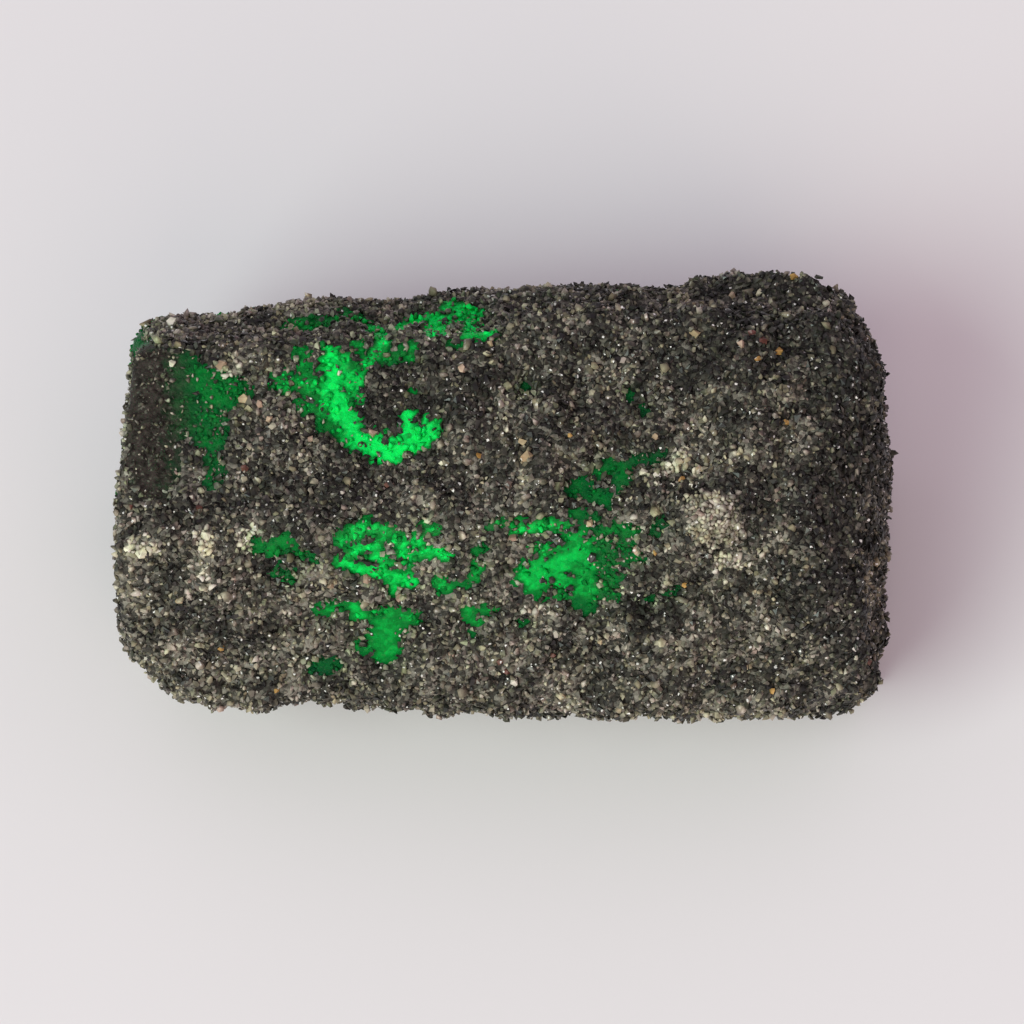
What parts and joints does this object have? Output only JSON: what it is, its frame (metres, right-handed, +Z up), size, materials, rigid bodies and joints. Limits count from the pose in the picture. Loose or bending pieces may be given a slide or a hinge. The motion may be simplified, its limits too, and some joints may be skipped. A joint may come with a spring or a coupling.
{
  "type": "rough emerald",
  "caption": "Rough six-sided emerald crystal lying on a prism face, coated in a crust of dark mineral grains, with its green faces bare in ragged windows.",
  "frame": {"origin": "middle of the box's underside, on the prism face that the stone rests on", "axes": "+X along the crystal towards its dark broken end, +Z up, -Y towards the viewer in the picture"},
  "size_m": [0.0314, 0.019, 0.0162],
  "materials": {
    "emerald": "translucent saturated green beryl, glossy on the bare growth faces",
    "dark_crust": "matt sandy crust of black mica, grey quartz and a few amber and white grains"
  },
  "bodies": {
    "root": {"emerald_crystal": "emerald", "matrix_crust": "dark_crust"}
  },
  "joints": []
}
